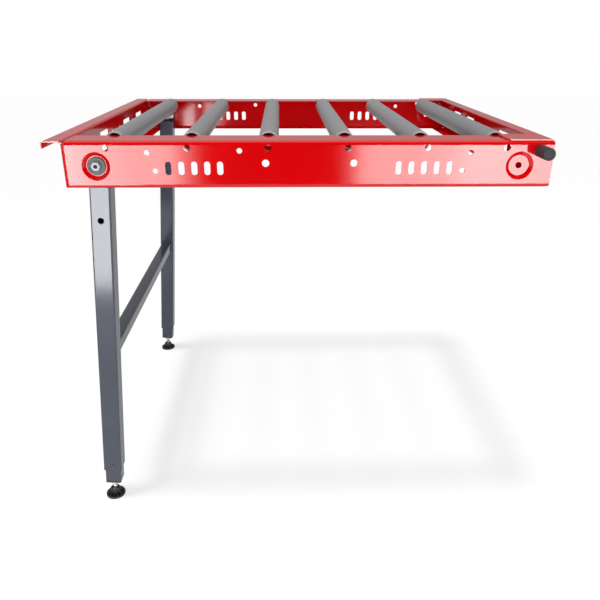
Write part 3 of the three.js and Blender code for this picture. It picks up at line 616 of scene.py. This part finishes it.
# %% Outer and inner legs
LOCK_HOLE, SCREW_HOLE, SCREW_UP = 11, 6.6, 9
for side, place in LEGS.items():
    outer = square_tube(f"{side}_leg_square_tube", LEG, "Z", LEG_END, 20, place)
    holes = [(BOLT_HOLE, 0), (LOCK_HOLE, -LOCK_REACH), (SCREW_HOLE, LEG_END + SCREW_UP)]
    tools = [prism("hole", circle(d, 0, z), "Y", -18.5, -15, place) for d, z in holes]
    tools.append(box((-18.5, 3.5, -12), (18.5, 18.5, 21), place))
    dress(carve(outer, tools), "leg_frame", "slate_paint", f"{side}_leg_tube")
    inner = square_tube(f"{side}_inner_square_tube", INNER_LEG, "Z", INNER_END, INNER_END + 250, place)
    dress(inner, f"{side}_inner_leg", "slate_paint", f"{side}_inner_leg")
    screw = place @ move(z=LEG_END + SCREW_UP)
    profile = [(0, -19.8), (3.3, -19.8), (4.2, -19.2), (4.5, -18.4), (4.5, -17.8)]
    profile += [(3, -17.8), (3, -15.5), (0, -15.5)]
    clamp = lathe(f"{side}_clamp_screw_turned", profile, screw, 40)
    clamp = carve(clamp, [prism("socket", circle(3.8, sides=6), "Y", -21, -18.6, screw)])
    dress(clamp, "leg_frame", "zinc_steel", f"{side}_clamp_screw", look="dull_zinc")
print("legs:", len(LEGS))


# %% Crossbar and its weld beads
def bead(name, half, y, radius, place):
    """A weld ring around a square bar of the given half width, rippled like laid-on drops."""
    path = rectangle(2 * half, 2 * half, 3, steps=6)
    path = [p.lerp(path[(i + 1) % len(path)], t / 14) for i, p in enumerate(path) for t in range(14)]
    spaced = [p for i, p in enumerate(path) if (p - path[i - 1]).length > 1e-4]
    points, faces, n = [], [], len(spaced)
    for i, p in enumerate(spaced):
        out = (p - spaced[i - 1]).normalized()
        out = Vector((out.y, -out.x))
        size = radius * (0.9 + 0.1 * math.sin(i * 2.1))
        for k in range(8):
            t = math.pi * k / 4
            q = p + out * size * math.cos(t)
            points.append((q.x, y + size * math.sin(t), q.y))
    for i in range(n):
        for k in range(8):
            a, b = i * 8 + k, i * 8 + (k + 1) % 8
            faces.append((a, b, (b + 8) % (8 * n), (a + 8) % (8 * n)))
    return solid(name, points, faces, place)


BAR, BAR_DROP, BEAD = 25, 357, 1.5
lean = move(PIVOT_X, 0, PIVOT_Z) @ Matrix.Rotation(LEAN, 4, "Y") @ move(z=-BAR_DROP)
bar_end = HALF_WIDTH - LEG_MIDDLE_Y - LEG / 2 - GAP
bar = square_tube("bar", BAR, "Y", -bar_end, bar_end, lean)
beads = [bead("bead", BAR / 2, sign * (bar_end - 1), BEAD, lean) for sign in (-1, 1)]
crossbar = join("leg_crossbar_welded", [bar, *beads])
dress(crossbar, "leg_frame", "slate_paint", "leg_crossbar")
print(crossbar.name, len(crossbar.data.polygons), "faces")

# %% [markdown]
# ## Levelling feet
# A plastic plug closes each inner leg and guides a threaded stud, which a lock nut holds. The stud ends in a
# ball that snaps into the foot, so the foot finds its own level. The thread could be a bump on a rod, but its
# edge shows, so it is a real helix of 1.5 mm pitch: rings of points climb by one pitch in each turn. The foot
# is moulded with thin ribs from hub to rim.


# %% A screw thread
def thread(name, start, end, place, crest=5.0, root=4.15, pitch=1.5, sides=32):
    radii = [root, root + 0.15, crest - 0.1, crest, crest - 0.1, root + 0.15]
    rows = int((end - start) / pitch * 6) - 6
    points = []
    for j in range(rows):
        for i in range(sides):
            t = 2 * math.pi * i / sides
            radius, height = radii[j % 6], start + pitch * (j / 6 + i / sides)
            points.append((radius * math.cos(t), height, radius * math.sin(t)))
    faces = []
    for j in range(rows - 7):
        for i in range(sides):
            k, climb = (i + 1) % sides, 6 if i == sides - 1 else 0
            low, high = (j + climb) * sides + k, (j + climb + 1) * sides + k
            faces.append((j * sides + i, low, high, (j + 1) * sides + i))
    return solid(name, points, faces, place)


# %% Plugs, nuts and studs
for side, place in LEGS.items():
    cap_top = INNER_END - GAP
    flange = prism("flange", rectangle(INNER_LEG, INNER_LEG, 3), "Z", cap_top - 3, cap_top, place)
    plug = prism("plug", rectangle(26.8, 26.8, 1.5), "Z", cap_top - 0.5, cap_top + 20, place)
    drill = prism("drill", circle(BOLT_HOLE), "Z", cap_top - 4, cap_top + 21, place)
    cap = carve(carve(flange, [plug], "UNION"), [drill])
    cap.name = f"{side}_leg_end_plug"
    dress(cap, f"{side}_inner_leg", "black_plastic", f"{side}_leg_cap")
    nut_top = INNER_END - 3 - 2 * GAP
    nut = hexagon(f"{side}_lock_hexagon_nut", 17, nut_top - 8, nut_top, BOLT_HOLE, place @ UPRIGHT)
    dress(nut, f"{side}_inner_leg", "zinc_steel", f"{side}_lock_nut")
    ball = place @ move(z=-BALL_DISTANCE) @ UPRIGHT
    turns = [math.radians(144.3) * i / 24 for i in range(25)]
    profile = [(6 * math.sin(t), -6 * math.cos(t)) for t in turns]
    profile += [(3.5, 10.5), (4.2, 11.2), (4.2, 77.5), (0, 77.5)]
    core = lathe("core", profile, ball, 48)
    helix = thread("helix", 11.4, 77.8, ball)
    stud = join(f"{side}_foot_threaded_stud", [core, helix])
    dress(stud, f"{side}_foot_screw", "zinc_steel", f"{side}_foot_stud")
print("studs:", len(LEGS))

# %% Ribbed feet
FOOT_RIBS = 12
for side, place in SIDES.items():
    ball_z = PIVOT_Z - BALL_DISTANCE * math.cos(LEAN)
    ball = place @ move(PIVOT_X - BALL_DISTANCE * math.sin(LEAN), LEG_MIDDLE_Y, ball_z)
    profile = [(0, -10), (18.3, -10), (18.8, -9.7), (19, -9.2), (19, -6), (18.7, -5.3), (18, -5)]
    profile += [(17.2, -5.2), (16.6, -6.8), (11.4, -6.6), (10.3, -5.6), (9.7, 5.6), (9.2, 6.7)]
    profile += [(8.4, 7), (7.4, 6.6)]
    turns = [math.radians(35 - 125 * i / 16) for i in range(17)]
    profile += [(6.3 * math.cos(t), 6.3 * math.sin(t)) for t in turns]
    profile[-1] = (0, -6.3)
    parts = [lathe("foot", profile, ball @ UPRIGHT, 72)]
    for i in range(FOOT_RIBS):
        spin = ball @ Matrix.Rotation(2 * math.pi * i / FOOT_RIBS, 4, "Z")
        path = rounded([(9.4, -7, 0), (17.2, -7, 0), (17.2, -5, 0.4), (9.4, 2.5, 0.4)], 4)
        parts.append(prism("rib", path, "Y", -0.8, 0.8, spin))
    dress(join(f"{side}_foot_ribbed", parts), f"{side}_foot", "black_plastic", f"{side}_foot_base")
print("feet:", len(SIDES), "with", FOOT_RIBS, "ribs each")

# %% [markdown]
# ## Camera
# The photograph was taken on white from a little above the tray. Its camera could be placed by eye, but it
# was worked out from the table's own straight edges and right angles, so that the dressed table can be
# compared with the photograph piece by piece.

# %% Camera, solved from the photograph
camera = bpy.data.cameras.new("camera")
camera.sensor_width, camera.lens = 36, 37.284
eye = bpy.data.objects.new("camera", camera)
right = (0.999547, -0.029846, 0.00376)
up = (0.008226, 0.391433, 0.92017)
back = (-0.028936, -0.919723, 0.391501)
turn = Matrix((right, up, back)).transposed().to_4x4()
eye.matrix_world = Matrix.Translation((-0.44717, -1.37958, 0.19387)) @ turn
camera.clip_start, camera.clip_end = 0.05, 60
bpy.context.scene.collection.objects.link(eye)
bpy.context.scene.camera = eye
print("camera at", [round(v, 3) for v in eye.location])

# %% [markdown]
# ## Soft lights
# The studio had a large soft light on each side of the camera and one overhead. Area lamps give their soft
# shading, and a wide sun gives the floor its shadow. The two side lamps and the sun are kept out of
# reflections, because panels made for the purpose show the light fronts better further on.


# %% Area lamps and a wide sun
def softbox(name, place, target, width, height, watts):
    light = bpy.data.lights.new(name, "AREA")
    light.shape, light.size, light.size_y, light.energy = "RECTANGLE", width, height, watts
    obj = bpy.data.objects.new(name, light)
    obj.location = place
    obj.rotation_euler = (Vector(target) - Vector(place)).to_track_quat("-Z", "Y").to_euler()
    obj.visible_camera = False
    bpy.context.scene.collection.objects.link(obj)
    return obj


softbox("left softbox", (-1.35, -1.98, 0.1), (-1.35, 0, 0.1), 1.1, 1.6, 15).visible_glossy = False
softbox("right softbox", (0.50, -1.98, 0.1), (0.50, 0, 0.1), 1.1, 1.6, 15).visible_glossy = False
softbox("right fill", (2.1, -0.6, 0.1), (-0.6, -0.1, -0.2), 1.2, 1.4, 9)
sky = bpy.data.lights.new("overhead", "SUN")
sky.energy, sky.angle = 1.7, math.radians(11)
overhead = bpy.data.objects.new("overhead", sky)
overhead.rotation_euler = Vector((0.14, 0.05, -1)).to_track_quat("-Z", "Y").to_euler()
overhead.visible_glossy = False
bpy.context.scene.collection.objects.link(overhead)
print("lights:", len(bpy.data.lights))

# %% [markdown]
# ## White surround and floor
# The ground is pure white, but a white world would flood the table with light. Light Path tells the rays
# apart: rays that look straight at the surround, or by way of a shine, see white, and the diffuse rays that
# light the table see a dim grey. The floor glows in the same way and keeps a soft shadow.


# %% Telling the rays apart
def shader_of(owner, kind):
    owner.use_nodes = True
    tree = owner.node_tree
    tree.nodes.clear()
    return tree, tree.nodes.new(kind)


def seen_directly(tree):
    """1 for camera, glossy and transmission rays, and 0 for the diffuse rays that light the table."""
    rays = tree.nodes.new("ShaderNodeLightPath")
    first, second = (tree.nodes.new("ShaderNodeMath") for _ in range(2))
    first.operation = second.operation = "MAXIMUM"
    tree.links.new(rays.outputs["Is Camera Ray"], first.inputs[0])
    tree.links.new(rays.outputs["Is Glossy Ray"], first.inputs[1])
    tree.links.new(first.outputs[0], second.inputs[0])
    tree.links.new(rays.outputs["Is Transmission Ray"], second.inputs[1])
    return second.outputs[0]


# %% The white surround
world = bpy.data.worlds.new("white surround")
bpy.context.scene.world = world
tree, out = shader_of(world, "ShaderNodeOutputWorld")
kinds = ("Background", "Background", "MixShader")
seen, lit, mix = (tree.nodes.new("ShaderNode" + kind) for kind in kinds)
lit.inputs["Strength"].default_value, seen.inputs["Strength"].default_value = 0.2, 1
for ground in (lit, seen):
    ground.inputs["Color"].default_value = (1, 1, 1, 1)
tree.links.new(seen_directly(tree), mix.inputs[0])
tree.links.new(lit.outputs[0], mix.inputs[1])
tree.links.new(seen.outputs[0], mix.inputs[2])
tree.links.new(mix.outputs[0], out.inputs["Surface"])
print("surround:", world.name)

# %% The floor
FLOOR = 18000
floor_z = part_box("front_foot_base")[0].z / MM
floor = prism("floor", rectangle(FLOOR, FLOOR, 0), "Z", floor_z - 20, floor_z - 0.2)
paper = bpy.data.materials.new("white paper")
tree, out = shader_of(paper, "ShaderNodeOutputMaterial")
kinds = ("BsdfDiffuse", "Emission", "AddShader")
matt, glow, both = (tree.nodes.new("ShaderNode" + kind) for kind in kinds)
matt.inputs["Color"].default_value = (0.45, 0.45, 0.45, 1)
share = tree.nodes.new("ShaderNodeMath")
share.operation = "MULTIPLY"
share.inputs[1].default_value = 0.65
tree.links.new(seen_directly(tree), share.inputs[0])
tree.links.new(share.outputs[0], glow.inputs["Strength"])
tree.links.new(matt.outputs[0], both.inputs[0])
tree.links.new(glow.outputs[0], both.inputs[1])
tree.links.new(both.outputs[0], out.inputs["Surface"])
floor.data.materials.append(paper)
print("floor at", round(floor_z, 1), "mm")

# %% [markdown]
# ## What the paint reflects
# Gloss paint shows the room. The front web has two pale fields with pure red between them: the fronts of the
# soft lights, and the dark room behind the camera. The front leg's pale upper part is one more light front. A
# whole room could be built around the table, but panels that only reflections see are easier to place: bright
# ones for the lights, and black and grey ones that keep the lights out of other surfaces.


# %% A panel that only reflections see
def oblong(left, right, low, high):
    return [(left, low), (right, low), (right, high), (left, high)]


def card(name, corners, at, steps, axis="Y", thick=10):
    """A panel across an axis. Its glow runs through (x, strength) pairs."""
    low, high = min(x for x, _ in corners), max(x for x, _ in corners)
    panel = prism(name, corners, axis, at - thick, at)
    material = bpy.data.materials.new(name)
    tree, out = shader_of(material, "ShaderNodeOutputMaterial")
    kinds = ("TexCoord", "SeparateXYZ", "MapRange", "ValToRGB", "Math", "Emission")
    place, split, share, ramp, gain, glow = (tree.nodes.new("ShaderNode" + kind) for kind in kinds)
    share.inputs["From Min"].default_value, share.inputs["From Max"].default_value = low * MM, high * MM
    strongest = max(strength for _, strength in steps)
    stops = ramp.color_ramp.elements
    while len(stops) < len(steps):
        stops.new(0.5)
    for stop_at, (x, strength) in zip(stops, steps):
        stop_at.position = (x - low) / (high - low)
        stop_at.color = (strength / strongest,) * 3 + (1,)
    gain.operation = "MULTIPLY"
    gain.inputs[1].default_value = strongest
    tree.links.new(place.outputs["Object"], split.inputs[0])
    tree.links.new(split.outputs["X"], share.inputs["Value"])
    tree.links.new(share.outputs["Result"], ramp.inputs["Fac"])
    tree.links.new(ramp.outputs["Color"], gain.inputs[0])
    tree.links.new(gain.outputs[0], glow.inputs["Strength"])
    tree.links.new(glow.outputs[0], out.inputs["Surface"])
    panel.data.materials.append(material)
    panel.visible_camera = panel.visible_diffuse = panel.visible_shadow = False


# %% The lights and the dark room
fronts = [(-1450, 17), (-1340, 16.2), (-1270, 13.1), (-1070, 10), (-920, 9.8), (-860, 4.2), (-780, 0)]
fronts += [(-200, 0), (-150, 1.6), (-90, 9), (-40, 9.8), (100, 9.5)]
fronts += [(260, 11.2), (370, 15), (470, 15), (700, 13.2)]
edge = [(-1450, -690), (-1150, -690), (-1050, -450), (800, -450), (800, -100), (-1450, -100)]
card("light fronts and dark room", edge, -2000, fronts)
card("low light front for the leg", oblong(-1130, -880, -560, -235), -1200, [(-1130, 14), (-880, 14)])
card("dark upper room", oblong(-3000, 2500, -100, 4000), -1990, [(-3000, 0), (2500, 0.001)])
card("grey back wall", oblong(-4000, 3000, -690, 3000), 3000, [(-4000, 0.5), (3000, 0.3)])
print("light fronts:", len(fronts), "steps")

# %% Grey and black panels close to the table
grey = [(-900, 0.62), (400, 0.62)]
card("grey wall behind the legs", oblong(-900, 400, -686, -20), 1310, grey)
card("grey floor under the table", oblong(-900, 400, -340, 1300), floor_z - 0.05, grey, "Z", 0.1)
card("flag for the back rail", oblong(-640, 100, -100, 8), -100, [(-640, 0), (100, 0.001)])
outer_fade = [(-1250, 0.8), (-900, 0.05), (-815, 0)]
card("flag for the outer panel and the back leg", oblong(-1250, -815, -400, 24), -HALF_WIDTH, outer_fade)
saw_fade = [(8, 0), (90, 0.05), (450, 0.8)]
card("flag for the saw end", oblong(8, 450, -400, 40), -HALF_WIDTH, saw_fade)
print("saw-end flag reaches x =", saw_fade[-1][0])

# %% [markdown]
# ## Finish
# Standard view transform keeps colours as written.

# %% Colour management
bpy.context.scene.view_settings.view_transform = "Standard"
